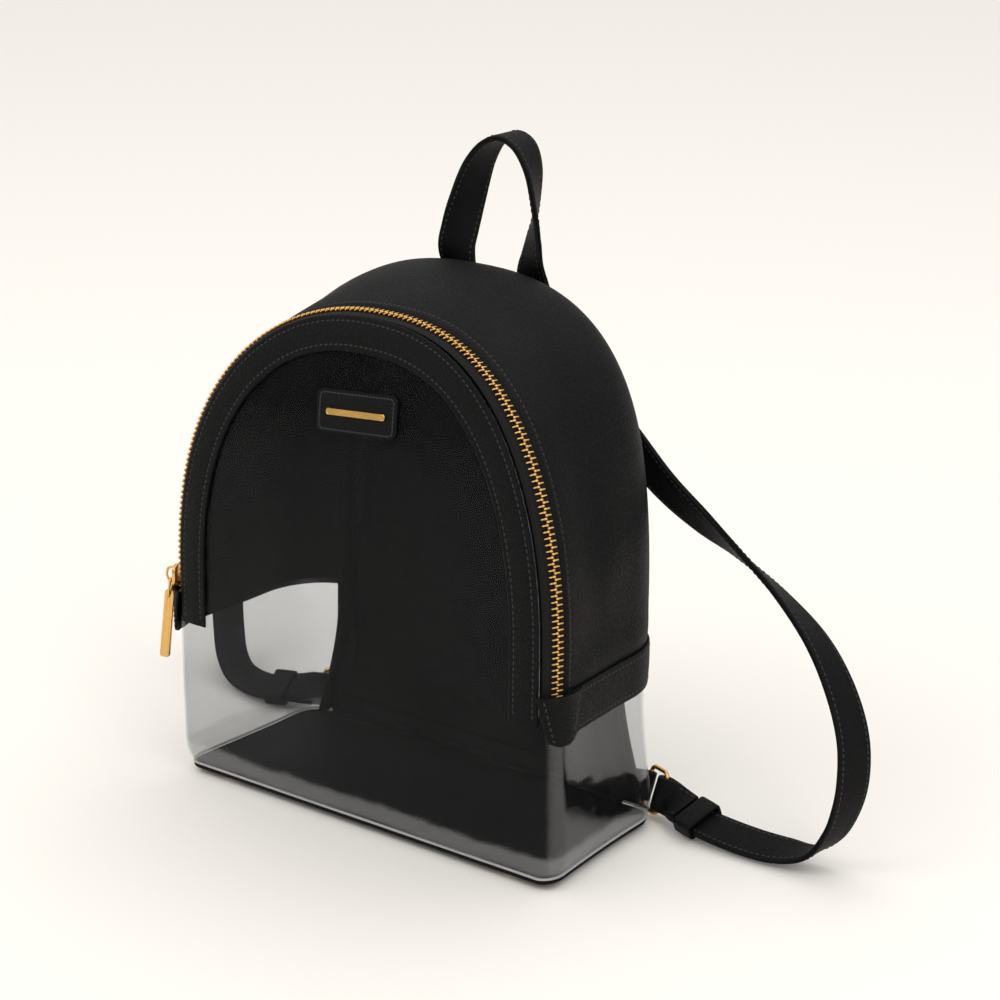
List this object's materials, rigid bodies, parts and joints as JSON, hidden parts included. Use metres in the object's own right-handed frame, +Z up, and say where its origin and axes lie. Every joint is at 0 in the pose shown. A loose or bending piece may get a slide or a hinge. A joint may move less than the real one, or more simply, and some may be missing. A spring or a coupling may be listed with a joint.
{
  "type": "clear backpack",
  "caption": "Small arched backpack with a clear front window and skirt, a leather gusset with a metal zip, a top hand loop and shoulder straps held by metal rings.",
  "frame": {"origin": "centre of the whole's footprint, straps included, on the floor under the foot studs", "axes": "+X to the right seen from the front, +Y from the front to the back panel, +Z up"},
  "size_m": [0.4756, 0.1642, 0.3563],
  "materials": {
    "clear_pvc": "clear soft sheet, glossy",
    "black_leather": "pebbled, semi-matt, tone-on-tone stitching",
    "black_lining": "smooth close-woven lining",
    "zip_tape": "herringbone woven tape",
    "gold_metal": "polished pale gold"
  },
  "bodies": {
    "bag": {"clear_panel": "clear_pvc", "front_band": "black_leather", "zip_tape_front": "zip_tape", "zip_tape_rear": "zip_tape", "zip_teeth": "gold_metal", "gusset": "black_leather", "gusset_lining": "black_lining", "side_band_left": "black_leather", "zip_end_tab_left": "black_leather", "side_band_right": "black_leather", "zip_end_tab_right": "black_leather", "back_panel": "black_leather", "back_lining": "black_lining", "seam_binding": "black_lining", "base_binding": "black_lining", "base_panel": "black_leather", "foot_stud_front_left": "gold_metal", "foot_stud_back_left": "gold_metal", "foot_stud_front_right": "gold_metal", "foot_stud_back_right": "gold_metal", "label_patch": "black_leather", "label_bar": "gold_metal", "top_handle": "black_leather", "shoulder_strap_left": "black_leather", "strap_ring_left": "gold_metal", "ring_tab_left": "black_leather", "strap_keeper_left": "black_leather", "shoulder_strap_right": "black_leather", "strap_ring_right": "gold_metal", "ring_tab_right": "black_leather", "strap_keeper_right": "black_leather", "zip_slider": "gold_metal"},
    "pull": {"zip_pull_link": "gold_metal", "zip_pull": "gold_metal"}
  },
  "joints": [
    {"name": "zip_pull_hinge", "type": "hinge", "parent": "bag", "child": "pull", "pos_m": [-0.13754, -0.07585, 0.11275], "axis": [-0.4524, 0.8918, 0], "range_deg": [0, 130]}
  ]
}
